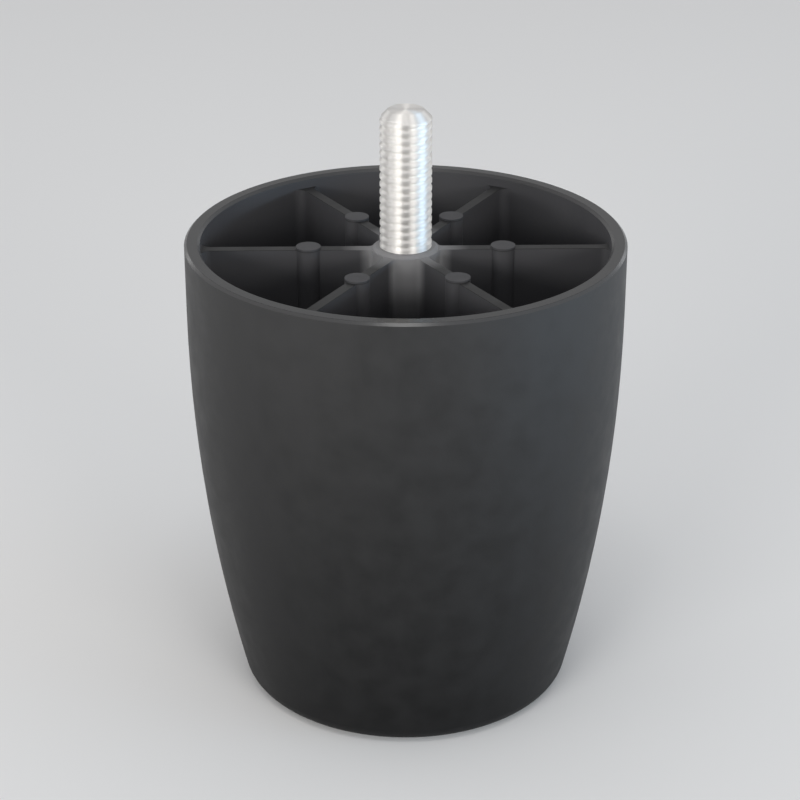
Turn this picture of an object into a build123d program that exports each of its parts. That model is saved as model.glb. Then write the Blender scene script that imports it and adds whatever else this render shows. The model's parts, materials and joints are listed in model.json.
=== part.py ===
from build123d import *
import os

# A plastic sofa leg: one open-topped moulding with six ribs, moulded round a steel stud.
# Millimetres. +Z is up, the floor is Z = 0 and the stud stands on the Z axis.

# Outside of the moulding
leg_height = 75.0          # floor to the rim that bears on the sofa frame
rim_diameter = 68.0
straight_band = 11.0       # upright band under the rim, before the side curves in
waist_height = 32.0        # half way down the curved side
waist_taper = 2.0          # how far the side has come in there
side_taper = 8.0           # how far it has come in at the floor
foot_round = 3.0           # rounding of the edge that stands on the floor
rim_chamfer = 0.4          # on both edges of the rim

# Inside of the moulding
wall = 2.4
floor_thickness = 3.0
wall_fillet = 1.5          # where the ribs meet the wall
boss_fillet = 0.8          # where the ribs meet the boss

# Ribs, and the pads on them that the ejector pins push on
rib_count = 6
rib_thickness = 1.6
rib_drop = 1.75            # rib tops below the rim
pad_diameter = 3.8
pad_circle_diameter = 30.0
pad_rise = 0.35            # pad tops above the rib tops

# Boss that grips the stud
boss_wall = 1.2            # plastic outside the thread diameter
boss_drop = 1.3            # boss top below the rim
boss_chamfer = 0.6         # on its top edge

# Underside
foot_ring = 4.0            # width of the flat ring that touches the floor
foot_recess = 0.6          # depth of the recess inside that ring
gate_diameter = 6.0        # shallow well at the injection point
gate_depth = 0.4

# Stud, M8 with a rolled thread, drawn at its outside diameter
stud_diameter = 8.0
thread_pitch = 1.25
blank_share = 0.65         # of the pitch: how much thinner the plain shank is than the thread
stud_length = 50.0
stud_reach = 20.5          # stud end above the rim
key_length = 10.0          # two flats on the shank lock the stud in the boss
key_depth = 0.8            # how deep each flat is cut

# Values that follow from the ones above
rim_radius = rim_diameter / 2
waist_radius = rim_radius - waist_taper
foot_radius = rim_radius - side_taper
floor_radius = foot_radius + (waist_radius - foot_radius) * floor_thickness / waist_height
curve_top = leg_height - straight_band
rib_top = leg_height - rib_drop
pad_top = rib_top + pad_rise
boss_top = leg_height - boss_drop
boss_radius = stud_diameter / 2 + boss_wall
stud_top = leg_height + stud_reach
stud_bottom = stud_top - stud_length
shank_radius = (stud_diameter - blank_share * thread_pitch) / 2


def upright(radius, bottom, top):
    """Cylinder on the Z axis from bottom to top."""
    return Pos(0, 0, bottom) * Cylinder(radius, top - bottom, align=(Align.CENTER, Align.CENTER, Align.MIN))


# Stud: threaded end above the boss, plain shank inside it, with two flats that stop turning and pulling out
thread = upright(stud_diameter / 2, boss_top, stud_top)
thread = chamfer(thread.edges().group_by(Axis.Z)[-1], thread_pitch)
shank = upright(shank_radius, stud_bottom, boss_top)
shank = chamfer(shank.edges().group_by(Axis.Z)[0], thread_pitch / 2)
key_centre = (stud_bottom + boss_top) / 2
flat_offset = shank_radius - key_depth + stud_diameter / 2
for side in (-1, 1):
    shank -= Pos(side * flat_offset, 0, key_centre) * Box(stud_diameter, stud_diameter, key_length)
stud = thread + shank

# Outer form: an upright band and two tangent arcs, turned as a solid with its standing edge rounded
shoulder = (rim_radius, curve_top)
waist = (waist_radius, waist_height)
foot = (foot_radius, 0)
upper_side = TangentArc(shoulder, waist, tangent=(0, -1))
lower_side = TangentArc(waist, foot, tangent=upper_side % 1)
rest = Polyline(foot, (0, 0), (0, leg_height), (rim_radius, leg_height), shoulder)
section = make_face(upper_side + lower_side + rest)
standing_edge = section.vertices().sort_by_distance(foot)[0]
body = revolve(Plane.XZ * fillet(standing_edge, foot_round), Axis.Z)

# Room inside the wall, in straight tapers that follow the outside
cavity_outline = Polyline(
    (0, floor_thickness),
    (floor_radius - wall, floor_thickness),
    (waist_radius - wall, waist_height),
    (rim_radius - wall, curve_top),
    (rim_radius - wall, leg_height),
    (0, leg_height),
    close=True,
)
cavity = revolve(Plane.XZ * make_face(cavity_outline), Axis.Z)

# Headroom over the ribs, with the boss left standing in it
boss = upright(boss_radius, floor_thickness, boss_top)
boss = chamfer(boss.edges().group_by(Axis.Z)[-1], boss_chamfer)
body -= split(cavity, Plane.XY.offset(rib_top), keep=Keep.TOP) - boss

# Cells between the ribs: sectors with rounded corners, trimmed to the wall's inner face
plan = Circle(rim_radius - wall) - Circle(boss_radius)
for location in PolarLocations(rim_radius / 2, rib_count):
    plan -= location * Rectangle(rim_radius, rib_thickness)
plan = fillet(plan.vertices().group_by(SortBy.DISTANCE)[-1], wall_fillet)
plan = fillet(plan.vertices().group_by(SortBy.DISTANCE)[0], boss_fillet)
body -= extrude(plan, amount=rib_top) & cavity

# Ejector pads: round posts that run down the ribs to the floor
for location in PolarLocations(pad_circle_diameter / 2, rib_count):
    body += location * upright(pad_diameter / 2, floor_thickness, pad_top)

# Rim edges
body = chamfer(body.edges().group_by(Axis.Z)[-1], rim_chamfer)

# Underside: a recess inside the standing ring, and the well of the injection point in its middle
body -= upright(foot_radius - foot_round - foot_ring, 0, foot_recess)
body -= upright(gate_diameter / 2, 0, foot_recess + gate_depth)

# The plastic closes round the shank
body -= stud

os.makedirs("parts", exist_ok=True)
export_step(body, "parts/leg_body.step")
export_step(stud, "parts/threaded_stud.step")
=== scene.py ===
# %% [markdown]
# # A plastic sofa leg
# The real leg is a black cup of moulded plastic. Six thin ribs stiffen it inside, and a zinc-plated
# steel stud stands in the middle, so that the leg can be screwed into the frame of a sofa.
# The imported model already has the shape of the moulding. This lesson gives the plastic its finish,
# cuts a thread on the stud, and lights both softly.

import json
from math import ceil, radians, tau

import bmesh
import bpy
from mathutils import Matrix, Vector

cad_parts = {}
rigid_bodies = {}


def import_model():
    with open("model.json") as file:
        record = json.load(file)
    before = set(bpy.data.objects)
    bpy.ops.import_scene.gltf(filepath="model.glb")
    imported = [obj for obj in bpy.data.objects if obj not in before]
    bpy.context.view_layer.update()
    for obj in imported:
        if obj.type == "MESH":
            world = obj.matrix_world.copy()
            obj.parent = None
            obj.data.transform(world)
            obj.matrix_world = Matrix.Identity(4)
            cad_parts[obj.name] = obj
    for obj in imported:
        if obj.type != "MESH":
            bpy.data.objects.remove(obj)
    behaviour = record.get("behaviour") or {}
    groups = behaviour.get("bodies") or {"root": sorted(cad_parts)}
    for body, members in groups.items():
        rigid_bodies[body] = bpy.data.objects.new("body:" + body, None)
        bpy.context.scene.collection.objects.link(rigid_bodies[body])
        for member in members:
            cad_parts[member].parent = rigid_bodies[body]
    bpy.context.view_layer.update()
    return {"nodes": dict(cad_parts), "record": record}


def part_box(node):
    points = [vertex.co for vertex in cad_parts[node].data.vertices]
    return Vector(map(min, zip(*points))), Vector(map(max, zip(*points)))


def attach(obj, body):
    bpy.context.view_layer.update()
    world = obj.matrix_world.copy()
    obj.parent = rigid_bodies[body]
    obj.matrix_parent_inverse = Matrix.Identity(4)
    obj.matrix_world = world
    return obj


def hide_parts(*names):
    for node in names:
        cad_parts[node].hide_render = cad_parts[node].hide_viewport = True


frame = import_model()
mounts = {mount["name"]: mount for mount in frame["record"]["mounts"]}
rim_height = mounts["rim"]["pos_m"][2]
print("nodes:", sorted(frame["nodes"]), "rim at", rim_height)

# %% [markdown]
# ## Camera
# The photo looks down into the cup from a little above, through a long lens. The place and the lens
# come from fitting the outline of the rim, the foot and the pads on the ribs, so the camera is set by
# numbers and not by eye.

# %% Camera
CAMERA_PLACE = (-0.00698, -0.33108, 0.20242)
CAMERA_TILT = radians(64.905)
CAMERA_TURN = radians(-1.055)
CAMERA_LENS = 103.617
camera = bpy.data.objects.new("camera", bpy.data.cameras.new("camera"))
camera.data.sensor_fit = "HORIZONTAL"
camera.data.lens = CAMERA_LENS
camera.location = CAMERA_PLACE
camera.rotation_euler = (CAMERA_TILT, 0, CAMERA_TURN)
bpy.context.scene.collection.objects.link(camera)
bpy.context.scene.camera = camera
print("camera", tuple(round(value, 3) for value in camera.location), "lens", CAMERA_LENS)

# %% [markdown]
# ## Floor
# A plain pale floor, wide enough to fill the picture, takes the shadow and throws a little light back
# up. A curved backdrop would do as well, but one flat square is enough here. It is stage, not part of
# the leg.

# %% Floor
FLOOR_SIZE = 4.0
FLOOR_GAP = 0.0001         # keeps the standing ring clear of the floor
FLOOR_COLOUR = (0.80, 0.80, 0.80, 1)
FLOOR_ROUGHNESS = 0.9


def new_material(name):
    """A new material, its node tree and the inputs of its shader."""
    material = bpy.data.materials.new(name)
    material.use_nodes = True
    return material, material.node_tree, material.node_tree.nodes["Principled BSDF"].inputs


pale_floor, _, floor_finish = new_material("pale_floor")
floor_finish["Base Color"].default_value = FLOOR_COLOUR
floor_finish["Roughness"].default_value = FLOOR_ROUGHNESS
floor_mesh = bpy.data.meshes.new("floor")
floor_bm = bmesh.new()
bmesh.ops.create_grid(floor_bm, x_segments=1, y_segments=1, size=FLOOR_SIZE / 2)
floor_bm.to_mesh(floor_mesh)
floor_bm.free()
floor = bpy.data.objects.new("floor", floor_mesh)
floor.location.z = -FLOOR_GAP
floor.data.materials.append(pale_floor)
bpy.context.scene.collection.objects.link(floor)
print("floor", FLOOR_SIZE, "m square")

# %% [markdown]
# ## Light
# The photo shows soft light from several sides. A picture of a studio could give it, but lamps can be
# named and set one by one, so eight soft boxes stand for it. A small one hangs high in front and draws
# the bright streak on the near rim. One stands behind, so that the end of the stud, the rim and the tops
# of the ribs are lit. The other six stand low: two in front, with a gap that shows as a grey stripe on
# the stud, one on the left, one on the right, where the light is a little blue, and a weak one behind
# each side, which keeps the edges of the stud bright. They are low on purpose: the rim then shades the
# cells, and light reaches only the boss and the far wall. Grids on these six keep most of their light
# off the floor. A nearly white room fills the shadows.

# %% Soft boxes
AIM = Vector((0, 0, rim_height))
BARE = 180                 # degrees over which a bare box spreads its light
GRID = 70                  # and a box with a grid on it
WHITE = (1.0, 1.0, 1.0)
CREAM = (1.0, 0.99, 0.97)
WARM = (1.0, 0.985, 0.96)
COOL = (0.97, 0.98, 1.0)
PALE_BLUE = (0.95, 0.97, 1.0)
BLUE = (0.60, 0.80, 1.0)

# Place, width and height in metres, power in watts, colour, spread in degrees
SOFT_BOXES = {
    "top_box": ((-0.02, -0.43, 0.98), 0.26, 0.16, 0.95, CREAM, BARE),
    "back_box": ((0.0, 0.92, 0.62), 1.2, 0.5, 0.25, COOL, BARE),
    "front_left_box": ((-0.53, -0.78, 0.29), 0.46, 0.18, 0.55, WARM, GRID),
    "front_right_box": ((0.50, -0.80, 0.29), 0.46, 0.18, 0.41, WARM, GRID),
    "left_box": ((-0.90, -0.36, 0.18), 0.9, 0.18, 0.38, WHITE, GRID),
    "left_back_box": ((-0.78, 0.55, 0.18), 0.7, 0.18, 0.15, WHITE, GRID),
    "right_box": ((0.92, -0.25, 0.12), 0.9, 0.13, 0.96, BLUE, GRID),
    "right_back_box": ((0.80, 0.55, 0.18), 0.7, 0.18, 0.14, PALE_BLUE, GRID),
}


def soft_box(name, place, width, height, power, colour, spread):
    """A rectangular lamp that faces the rim of the leg."""
    lamp = bpy.data.lights.new(name, "AREA")
    lamp.shape = "RECTANGLE"
    lamp.size = width
    lamp.size_y = height
    lamp.energy = power
    lamp.color = colour
    lamp.spread = radians(spread)
    holder = bpy.data.objects.new(name, lamp)
    holder.location = place
    holder.rotation_euler = (AIM - Vector(place)).to_track_quat("-Z", "Y").to_euler()
    bpy.context.scene.collection.objects.link(holder)


for box_name, box_settings in SOFT_BOXES.items():
    soft_box(box_name, *box_settings)
print("lamps:", [lamp.name for lamp in bpy.data.lights])

# %% Room
ROOM_COLOUR = (0.99, 0.99, 1.0, 1)
ROOM_STRENGTH = 0.55
world = bpy.data.worlds.new("studio")
world.use_nodes = True
room = world.node_tree.nodes["Background"]
room.inputs["Color"].default_value = ROOM_COLOUR
room.inputs["Strength"].default_value = ROOM_STRENGTH
bpy.context.scene.world = world
bpy.context.scene.view_settings.view_transform = "Standard"
print("room at strength", ROOM_STRENGTH)

# %% [markdown]
# ## Zones of the moulding
# The plastic looks different outside, inside, on the rim and on the tops of the ribs. These zones could
# be painted on a picture, or cut into the mesh as material slots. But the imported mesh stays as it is, so
# the shader measures them instead: the distance from the axis and the height over the floor tell on
# which side of the wall a point lies, and whether it is on the rim or on a rib. Both are read from the
# object's own coordinates, in metres, so the zones stay put when the leg moves.


# %% Radius and height
def feed(tree, socket, value):
    """Links a socket to another socket, or sets it to a constant."""
    if isinstance(value, bpy.types.NodeSocket):
        tree.links.new(value, socket)
    else:
        socket.default_value = value


def calculate(tree, operation, *values):
    """A Math node whose inputs are sockets or numbers."""
    node = tree.nodes.new("ShaderNodeMath")
    node.operation = operation
    for socket, value in zip(node.inputs, values):
        feed(tree, socket, value)
    return node.outputs[0]


def object_place(tree):
    """The x, y and z of the point that is shaded, on the object's own coordinates."""
    coordinates = tree.nodes.new("ShaderNodeTexCoord")
    place = tree.nodes.new("ShaderNodeSeparateXYZ")
    tree.links.new(coordinates.outputs["Object"], place.inputs[0])
    return place.outputs


def radius_and_height(tree):
    """Distance from the axis and height over the floor of the point that is shaded."""
    x, y, height = object_place(tree)
    square = calculate(tree, "ADD", calculate(tree, "MULTIPLY", x, x), calculate(tree, "MULTIPLY", y, y))
    return calculate(tree, "SQRT", square), height


plastic, plastic_tree, plastic_finish = new_material("moulded_plastic")
radius, height = radius_and_height(plastic_tree)
print(plastic.name, "has", len(plastic_tree.nodes), "nodes so far")

# %% Inside of the wall
WALL_MIDDLE = 0.0328       # radius of the middle of the wall in the upright band
BAND_BOTTOM = 0.064        # the wall comes in below this height
WALL_CURVE = 0.52          # by the square of the drop over this length
FOOT_MIDDLE = 0.002        # height between the two faces of the closed foot
RIM_EDGE = rim_height - 0.0004     # the chamfers of the rim start here


def both(tree, first, second):
    """1 where two masks are 1."""
    return calculate(tree, "MULTIPLY", first, second)


def inside_of_wall(tree, radius, height):
    """1 on the faces that the core shaped, 0 on the outside, the rim and the underside."""
    drop = calculate(tree, "MAXIMUM", calculate(tree, "SUBTRACT", BAND_BOTTOM, height), 0)
    taper = calculate(tree, "DIVIDE", calculate(tree, "MULTIPLY", drop, drop), WALL_CURVE)
    within = calculate(tree, "LESS_THAN", radius, calculate(tree, "SUBTRACT", WALL_MIDDLE, taper))
    over_foot = calculate(tree, "GREATER_THAN", height, FOOT_MIDDLE)
    under_rim = calculate(tree, "LESS_THAN", height, RIM_EDGE)
    return both(tree, within, both(tree, over_foot, under_rim))


inside = inside_of_wall(plastic_tree, radius, height)
print("inside from", FOOT_MIDDLE, "to", round(RIM_EDGE, 5), "m up")

# %% Rim and tops of the ribs
RIM_FLAT = rim_height - 0.00003    # the chamfers of the rim end here
RIB_HEIGHT = rim_height - 0.00175
RIB_MARGIN = 0.00008
RIB_END = 0.0314           # radius just inside the wall


def on_rib_tops(tree, radius, height):
    """1 at the height of the tops of the ribs, and 0 elsewhere and on the wall."""
    over = calculate(tree, "GREATER_THAN", height, RIB_HEIGHT - RIB_MARGIN)
    under = calculate(tree, "LESS_THAN", height, RIB_HEIGHT + RIB_MARGIN)
    off_wall = calculate(tree, "LESS_THAN", radius, RIB_END)
    return both(tree, off_wall, both(tree, over, under))


rib_tops = on_rib_tops(plastic_tree, radius, height)
rim = calculate(plastic_tree, "GREATER_THAN", height, RIM_EDGE)
rim_edges = both(plastic_tree, rim, calculate(plastic_tree, "LESS_THAN", height, RIM_FLAT))
print("tops of the ribs at", round(RIB_HEIGHT, 5), "m, chamfers up to", round(RIM_FLAT, 5))

# %% [markdown]
# ## Colours of the plastic
# Outside, the plastic is a soft black with faint clouds, darkest at the foot, which is painted shade
# where less light falls. Inside it is greyer, apart from the tops of the ribs.
# The edges of the rim are painted paler, as a painted highlight. Round the top of the boss and on the ribs
# near the stud the plastic is painted paler still. This is painted light, for the light that the bright
# stud throws on the plastic round it, and it fades down the boss as a painted shadow of the near rim.
# Each of these could be a material of its own. One shader that blends them by zone keeps them together,
# and lets the pale zone fade out.

# %% Clouds
CLOUD_SIZE = 0.004
CLOUD_DETAIL = 6
NOISE_LOW = 0.3            # nearly all of a noise lies between these two
NOISE_HIGH = 0.7


def noise(tree, size, detail):
    """Noise on Object coordinates whose lumps are about size metres across."""
    coordinates = tree.nodes.new("ShaderNodeTexCoord")
    texture = tree.nodes.new("ShaderNodeTexNoise")
    texture.inputs["Scale"].default_value = 1 / size
    texture.inputs["Detail"].default_value = detail
    tree.links.new(coordinates.outputs["Object"], texture.inputs["Vector"])
    return texture.outputs["Fac"]


def ramp(tree, value, start, end, low=0.0, high=1.0):
    """Goes from low to high as the value goes from start to end, and stays there outside."""
    node = tree.nodes.new("ShaderNodeMapRange")
    feed(tree, node.inputs["Value"], value)
    node.inputs["From Min"].default_value = start
    node.inputs["From Max"].default_value = end
    node.inputs["To Min"].default_value = low
    node.inputs["To Max"].default_value = high
    return node.outputs["Result"]


def drift(tree, lumps, low, high):
    """Goes from low to high with a noise."""
    return ramp(tree, lumps, NOISE_LOW, NOISE_HIGH, low, high)


clouds = noise(plastic_tree, CLOUD_SIZE, CLOUD_DETAIL)
print("clouds about", CLOUD_SIZE, "m across")

# %% Outside colour
# Painted shade: the colour at the foot is darker than at the rim because less light falls low down.
PAINTED_SHADE_AT_FOOT = (0.002, 0.002, 0.0022, 1)
OUTSIDE_RIM = (0.013, 0.013, 0.0135, 1)
# Painted highlight: the chamfers of the rim get a paler colour.
PAINTED_EDGE_HIGHLIGHT = (0.045, 0.045, 0.046, 1)
HEIGHT_SHARE = 0.65        # how far the height takes the outside from one shade to the other
CLOUD_SHARE = 0.5          # and how far the clouds take it at most


def blend(tree, kind, factor, first, second):
    """Mixes two colours (kind RGBA) or two numbers (kind VALUE) by a factor."""
    node = tree.nodes.new("ShaderNodeMix")
    node.data_type = "RGBA" if kind == "RGBA" else "FLOAT"
    feed(tree, node.inputs[0], factor)
    ends = [socket for socket in node.inputs if socket.type == kind and socket.name in "AB"]
    feed(tree, ends[0], first)
    feed(tree, ends[1], second)
    return [socket for socket in node.outputs if socket.type == kind][0]


# Painted shade: the outside gets darker towards the foot.
painted_shade_by_height = ramp(plastic_tree, height, 0, rim_height, 0, HEIGHT_SHARE)
shade = calculate(plastic_tree, "ADD", painted_shade_by_height, drift(plastic_tree, clouds, 0, CLOUD_SHARE))
outside_colour = blend(plastic_tree, "RGBA", shade, PAINTED_SHADE_AT_FOOT, OUTSIDE_RIM)
# Painted highlight: the chamfers of the rim are painted paler.
outside_colour = blend(plastic_tree, "RGBA", rim_edges, outside_colour, PAINTED_EDGE_HIGHLIGHT)
print("outside from", PAINTED_SHADE_AT_FOOT[:3], "at the foot to", OUTSIDE_RIM[:3], "at the rim")

# %% Inside colour
INSIDE = (0.051, 0.051, 0.055, 1)
RIB_TOP = (0.022, 0.022, 0.0225, 1)
# Painted light: the paler colour round the stud stands for the light that the stud throws on the plastic.
PAINTED_LIGHT_NEAR_STUD = (0.195, 0.195, 0.20, 1)
PAINTED_LIGHT_FROM = 0.0072      # radius where the pale zone starts on the sides of the ribs
PAINTED_LIGHT_TOP = 0.010        # and on their tops
PAINTED_LIGHT_TO = 0.0055        # radius where it is palest
# The fade down the boss is a painted shadow of the near rim.
PAINTED_LIGHT_DEPTH = (0.063, 0.069)     # it fades down the boss between these heights

painted_light_round_boss = ramp(plastic_tree, radius, PAINTED_LIGHT_FROM, PAINTED_LIGHT_TO)
painted_light_above_shadow = ramp(plastic_tree, height, *PAINTED_LIGHT_DEPTH)
sides = blend(plastic_tree, "RGBA", both(plastic_tree, painted_light_round_boss, painted_light_above_shadow), INSIDE, PAINTED_LIGHT_NEAR_STUD)
painted_light_round_stud = ramp(plastic_tree, radius, PAINTED_LIGHT_TOP, PAINTED_LIGHT_TO)
tops = blend(plastic_tree, "RGBA", painted_light_round_stud, RIB_TOP, PAINTED_LIGHT_NEAR_STUD)
inside_colour = blend(plastic_tree, "RGBA", rib_tops, sides, tops)
plastic_colour = blend(plastic_tree, "RGBA", inside, outside_colour, inside_colour)
feed(plastic_tree, plastic_finish["Base Color"], plastic_colour)
print("inside", INSIDE[:3], "and", PAINTED_LIGHT_NEAR_STUD[:3], "where it is palest")

# %% [markdown]
# ## Sheen and grain of the plastic
# The plastic has a dull sheen and a fine grain. The sheen is weakest at the foot, and the rim is
# smoother, as if rubbed. A grain this fine would cost far too many faces as real relief, so it is a
# bump, about as deep as a real grain may be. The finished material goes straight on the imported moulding.

# %% Sheen
GLOSS_FOOT = 0.18
GLOSS_RIM = 0.49
GLOSS_INSIDE = 0.3
GLOSS_RUBBED = 0.45
ROUGH_LOW = 0.46
ROUGH_HIGH = 0.58
ROUGH_RUBBED = 0.24

gloss = ramp(plastic_tree, height, 0, rim_height, GLOSS_FOOT, GLOSS_RIM)
gloss = blend(plastic_tree, "VALUE", inside, gloss, GLOSS_INSIDE)
gloss = blend(plastic_tree, "VALUE", rim, gloss, GLOSS_RUBBED)
feed(plastic_tree, plastic_finish["Specular IOR Level"], gloss)
roughness = drift(plastic_tree, clouds, ROUGH_LOW, ROUGH_HIGH)
roughness = blend(plastic_tree, "VALUE", rim, roughness, ROUGH_RUBBED)
feed(plastic_tree, plastic_finish["Roughness"], roughness)
print("roughness", ROUGH_LOW, "to", ROUGH_HIGH, "and", ROUGH_RUBBED, "on the rim")

# %% Grain
GRAIN_SIZE = 0.00035
GRAIN_DETAIL = 2
GRAIN_DEPTH = 0.00002
GRAIN_STRENGTH = 0.35


def bump(tree, height, depth, strength):
    """Bump of a real depth in metres."""
    node = tree.nodes.new("ShaderNodeBump")
    node.inputs["Distance"].default_value = depth
    node.inputs["Strength"].default_value = strength
    tree.links.new(height, node.inputs["Height"])
    return node.outputs["Normal"]


grain = noise(plastic_tree, GRAIN_SIZE, GRAIN_DETAIL)
feed(plastic_tree, plastic_finish["Normal"], bump(plastic_tree, grain, GRAIN_DEPTH, GRAIN_STRENGTH))
print(plastic.name, "has", len(plastic_tree.nodes), "nodes in all")

# %% Plastic on the moulding
body = frame["nodes"]["leg_body"]
body.data.materials.clear()
body.data.materials.append(plastic)
print("leg_body:", len(body.data.polygons), "triangles in", body.data.materials[0].name)

# %% [markdown]
# ## Zinc-plated steel
# Bright zinc is a pale grey metal with a soft sheen. The plating is never quite even, so both its
# colour and its roughness drift over a few millimetres. In the photo the highlights run along the stud,
# as on metal with fine rings round it. Such rings are too fine to model, so the shader stretches the
# sheen instead: its tangent runs round the axis, and the sheen is drawn out across it.

# %% Zinc plating
ZINC_COOL = (0.90, 0.885, 0.86, 1)
ZINC_WARM = (0.94, 0.92, 0.89, 1)
ZINC_PATCH = 0.004
ZINC_DETAIL = 3
ZINC_ROUGH_LOW = 0.50
ZINC_ROUGH_HIGH = 0.56

zinc, zinc_tree, zinc_finish = new_material("zinc_plate")
zinc_finish["Metallic"].default_value = 1.0
patches = noise(zinc_tree, ZINC_PATCH, ZINC_DETAIL)
zinc_colour = blend(zinc_tree, "RGBA", drift(zinc_tree, patches, 0, 1), ZINC_COOL, ZINC_WARM)
feed(zinc_tree, zinc_finish["Base Color"], zinc_colour)
feed(zinc_tree, zinc_finish["Roughness"], drift(zinc_tree, patches, ZINC_ROUGH_LOW, ZINC_ROUGH_HIGH))
print(zinc.name, "with roughness", ZINC_ROUGH_LOW, "to", ZINC_ROUGH_HIGH)

# %% Rings and scratches
RING_STRENGTH = 0.92
QUARTER_TURN = 0.25        # turns the stretch from along the rings to across them
SCRATCH_SIZE = 0.0002
SCRATCH_DETAIL = 2
SCRATCH_DEPTH = 0.000004
SCRATCH_STRENGTH = 0.3

x, y, _ = object_place(zinc_tree)
around = zinc_tree.nodes.new("ShaderNodeCombineXYZ")
feed(zinc_tree, around.inputs["X"], calculate(zinc_tree, "MULTIPLY", y, -1))
feed(zinc_tree, around.inputs["Y"], x)
feed(zinc_tree, zinc_finish["Tangent"], around.outputs[0])
zinc_finish["Anisotropic"].default_value = RING_STRENGTH
zinc_finish["Anisotropic Rotation"].default_value = QUARTER_TURN

scratches = noise(zinc_tree, SCRATCH_SIZE, SCRATCH_DETAIL)
feed(zinc_tree, zinc_finish["Normal"], bump(zinc_tree, scratches, SCRATCH_DEPTH, SCRATCH_STRENGTH))
print(zinc.name, "has", len(zinc_tree.nodes), "nodes")

# %% [markdown]
# ## Thread
# The stud is taken as M8, with one groove that climbs 1.25 mm in each turn. It could be drawn as a helix
# with a profile swept along it, but the ends of such a sweep would be left open. Here a flat grid is
# rolled round the axis instead. Each row of the grid is one line of the thread, and it climbs by one
# pitch as it goes once round, so the last column of a row meets the first column of the row one pitch
# higher. Heights past either end are held at that end, and the points that pile up there are merged.
# The groove is less than half as deep as a full thread, because its lines hardly show in the photo.

# %% Thread sizes
THREAD_PITCH = 0.00125
THREAD_DEPTH = 0.00032
STEPS_PER_PITCH = 24
STEPS_AROUND = 72

_, stud_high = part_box("threaded_stud")
thread_radius = mounts["stud"]["dims"]["r_mm"] / 1000
thread_end = stud_high.z
thread_foot = thread_end - THREAD_PITCH - mounts["stud"]["dims"]["length_mm"] / 1000
thread_turns = ceil((thread_end - thread_foot) / THREAD_PITCH) + 2
print("thread from", round(thread_foot, 5), "to", round(thread_end, 5), "in", thread_turns, "turns")

# %% Tree and its named inputs
THREAD_INPUTS = {
    "Radius": ("NodeSocketFloat", thread_radius),
    "Pitch": ("NodeSocketFloat", THREAD_PITCH),
    "Depth": ("NodeSocketFloat", THREAD_DEPTH),
    "Chamfer": ("NodeSocketFloat", THREAD_PITCH),
    "Foot": ("NodeSocketFloat", thread_foot),
    "End": ("NodeSocketFloat", thread_end),
    "Turns": ("NodeSocketInt", thread_turns),
    "Steps per pitch": ("NodeSocketInt", STEPS_PER_PITCH),
    "Steps around": ("NodeSocketInt", STEPS_AROUND),
    "Material": ("NodeSocketMaterial", zinc),
}
thread_tree = bpy.data.node_groups.new("rolled_thread", "GeometryNodeTree")
for input_name, (input_kind, _) in THREAD_INPUTS.items():
    thread_tree.interface.new_socket(input_name, in_out="INPUT", socket_type=input_kind)
thread_tree.interface.new_socket("Thread", in_out="OUTPUT", socket_type="NodeSocketGeometry")
size = thread_tree.nodes.new("NodeGroupInput").outputs
print("inputs:", list(THREAD_INPUTS))

# %% Radius of the thread
CREST_HALF = 4 / STEPS_PER_PITCH   # half of the crest and one flank, in pitches,
FLANK = 6 / STEPS_PER_PITCH        # so that both end on a row of the grid
end_radius = calculate(thread_tree, "SUBTRACT", size["Radius"], size["Chamfer"])


def held_between(tree, value, low, high):
    """Keeps a value between two limits."""
    return calculate(tree, "MINIMUM", calculate(tree, "MAXIMUM", value, low), high)


def radius_along(tree, size, along, free_height, height):
    """Crest, flanks and root of the thread, which runs out at the foot and is chamfered at the end."""
    within_pitch = calculate(tree, "FRACT", along)
    from_crest = calculate(tree, "ABSOLUTE", calculate(tree, "SUBTRACT", within_pitch, 0.5))
    down_flank = calculate(tree, "DIVIDE", calculate(tree, "SUBTRACT", from_crest, CREST_HALF), FLANK)
    groove = calculate(tree, "MULTIPLY", held_between(tree, down_flank, 0, 1), size["Depth"])
    above_foot = calculate(tree, "SUBTRACT", free_height, size["Foot"])
    run_out = held_between(tree, calculate(tree, "DIVIDE", above_foot, size["Pitch"]), 0, 1)
    threaded = calculate(tree, "SUBTRACT", size["Radius"], calculate(tree, "MULTIPLY", groove, run_out))
    below_end = calculate(tree, "SUBTRACT", size["End"], height)
    chamfered = calculate(tree, "ADD", end_radius, below_end)
    return calculate(tree, "MINIMUM", threaded, chamfered)


print("crest", round(2 * CREST_HALF * THREAD_PITCH, 6), "m wide, flanks", round(FLANK * THREAD_PITCH, 6))


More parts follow.
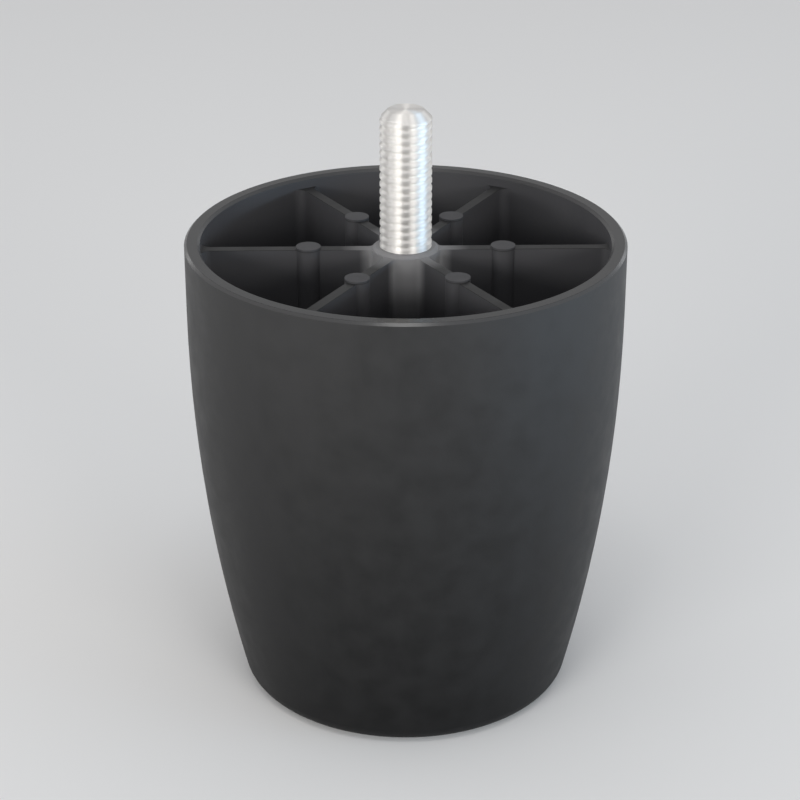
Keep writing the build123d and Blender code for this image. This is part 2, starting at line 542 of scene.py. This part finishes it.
# %% Rolled wall
def rolled_grid(tree, size):
    """A flat grid, one unit square, rolled round the axis as the wall of the thread."""
    grid = tree.nodes.new("GeometryNodeMeshGrid")
    rows = calculate(tree, "MULTIPLY", size["Turns"], size["Steps per pitch"])
    tree.links.new(calculate(tree, "ADD", size["Steps around"], 1), grid.inputs["Vertices X"])
    tree.links.new(calculate(tree, "ADD", rows, 1), grid.inputs["Vertices Y"])

    place = tree.nodes.new("ShaderNodeSeparateXYZ")
    tree.links.new(tree.nodes.new("GeometryNodeInputPosition").outputs[0], place.inputs[0])
    turn = calculate(tree, "ADD", place.outputs["X"], 0.5)
    along = calculate(tree, "MULTIPLY", calculate(tree, "ADD", place.outputs["Y"], 0.5), size["Turns"])

    start = calculate(tree, "SUBTRACT", size["Foot"], size["Pitch"])
    climb = calculate(tree, "MULTIPLY", calculate(tree, "ADD", along, turn), size["Pitch"])
    free_height = calculate(tree, "ADD", start, climb)
    height = held_between(tree, free_height, size["Foot"], size["End"])
    radius = radius_along(tree, size, along, free_height, height)

    angle = calculate(tree, "MULTIPLY", turn, tau)
    point = tree.nodes.new("ShaderNodeCombineXYZ")
    tree.links.new(calculate(tree, "MULTIPLY", radius, calculate(tree, "COSINE", angle)), point.inputs["X"])
    tree.links.new(calculate(tree, "MULTIPLY", radius, calculate(tree, "SINE", angle)), point.inputs["Y"])
    tree.links.new(height, point.inputs["Z"])
    rolled = tree.nodes.new("GeometryNodeSetPosition")
    tree.links.new(grid.outputs["Mesh"], rolled.inputs["Geometry"])
    tree.links.new(point.outputs[0], rolled.inputs["Position"])
    return rolled.outputs[0]


wall = rolled_grid(thread_tree, size)
print("wall of", thread_turns * STEPS_PER_PITCH + 1, "rows and", STEPS_AROUND + 1, "columns")

# %% Flat end
disc = thread_tree.nodes.new("GeometryNodeMeshCircle")
disc.fill_type = "NGON"
thread_tree.links.new(size["Steps around"], disc.inputs["Vertices"])
thread_tree.links.new(end_radius, disc.inputs["Radius"])
lift = thread_tree.nodes.new("ShaderNodeCombineXYZ")
thread_tree.links.new(size["End"], lift.inputs["Z"])
raised = thread_tree.nodes.new("GeometryNodeSetPosition")
thread_tree.links.new(disc.outputs["Mesh"], raised.inputs["Geometry"])
thread_tree.links.new(lift.outputs[0], raised.inputs["Offset"])
print("end with a radius of", round(thread_radius - THREAD_PITCH, 5), "m")

# %% Closed thread
MERGE_DISTANCE = 0.000002

joined = thread_tree.nodes.new("GeometryNodeJoinGeometry")
thread_tree.links.new(raised.outputs[0], joined.inputs[0])
thread_tree.links.new(wall, joined.inputs[0])
merged = thread_tree.nodes.new("GeometryNodeMergeByDistance")
merged.inputs["Distance"].default_value = MERGE_DISTANCE
thread_tree.links.new(joined.outputs[0], merged.inputs["Geometry"])
realized = thread_tree.nodes.new("GeometryNodeRealizeInstances")
thread_tree.links.new(merged.outputs[0], realized.inputs[0])
plated = thread_tree.nodes.new("GeometryNodeSetMaterial")
thread_tree.links.new(realized.outputs[0], plated.inputs["Geometry"])
thread_tree.links.new(size["Material"], plated.inputs["Material"])
output = thread_tree.nodes.new("NodeGroupOutput")
thread_tree.links.new(plated.outputs[0], output.inputs[0])
print("tree", thread_tree.name, "has", len(thread_tree.nodes), "nodes")


# %% Thread mesh
def made_by(tree, values):
    """Runs a tree on an empty mesh and returns the result as a plain mesh."""
    carrier = bpy.data.objects.new("carrier", bpy.data.meshes.new("carrier"))
    bpy.context.scene.collection.objects.link(carrier)
    modifier = carrier.modifiers.new("tree", "NODES")
    modifier.node_group = tree
    for item in tree.interface.items_tree:
        if item.in_out == "INPUT":
            modifier[item.identifier] = values[item.name][1]
    graph = bpy.context.evaluated_depsgraph_get()
    mesh = bpy.data.meshes.new_from_object(carrier.evaluated_get(graph))
    bpy.data.objects.remove(carrier)
    return mesh


thread = made_by(thread_tree, THREAD_INPUTS)
print("thread:", len(thread.vertices), "points,", len(thread.polygons), "faces")

# %% [markdown]
# ## Stud
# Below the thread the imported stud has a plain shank, which two flats lock in the plastic. It could be
# modelled again here, but that part is right as packed, so it is copied, cut off under the thread and
# bridged to it.

# %% Stud
JOIN_TOLERANCE = 0.00001
SHARP_ANGLE = radians(35)


def whole_stud(thread, packed):
    """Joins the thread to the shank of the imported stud."""
    bm = bmesh.new()
    bm.from_mesh(packed)
    bmesh.ops.remove_doubles(bm, verts=bm.verts, dist=JOIN_TOLERANCE / 10)
    above = [face for face in bm.faces if face.calc_center_median().z > thread_foot - JOIN_TOLERANCE]
    bmesh.ops.delete(bm, geom=above, context="FACES")
    for face in bm.faces:
        face.material_index = 0
    bm.from_mesh(thread)
    open_edges = [edge for edge in bm.edges if edge.is_boundary]
    bmesh.ops.bridge_loops(bm, edges=open_edges)
    for face in bm.faces:
        face.smooth = True
    mesh = bpy.data.meshes.new("stud")
    bm.to_mesh(mesh)
    holes = sum(1 for edge in bm.edges if not edge.is_manifold)
    bm.free()
    mesh.set_sharp_from_angle(angle=SHARP_ANGLE)
    print("stud:", len(mesh.polygons), "faces,", holes, "open edges")
    return mesh


stud = bpy.data.objects.new("stud", whole_stud(thread, frame["nodes"]["threaded_stud"].data))
stud.data.materials.append(zinc)
bpy.context.scene.collection.objects.link(stud)
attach(stud, "root")
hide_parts("threaded_stud")
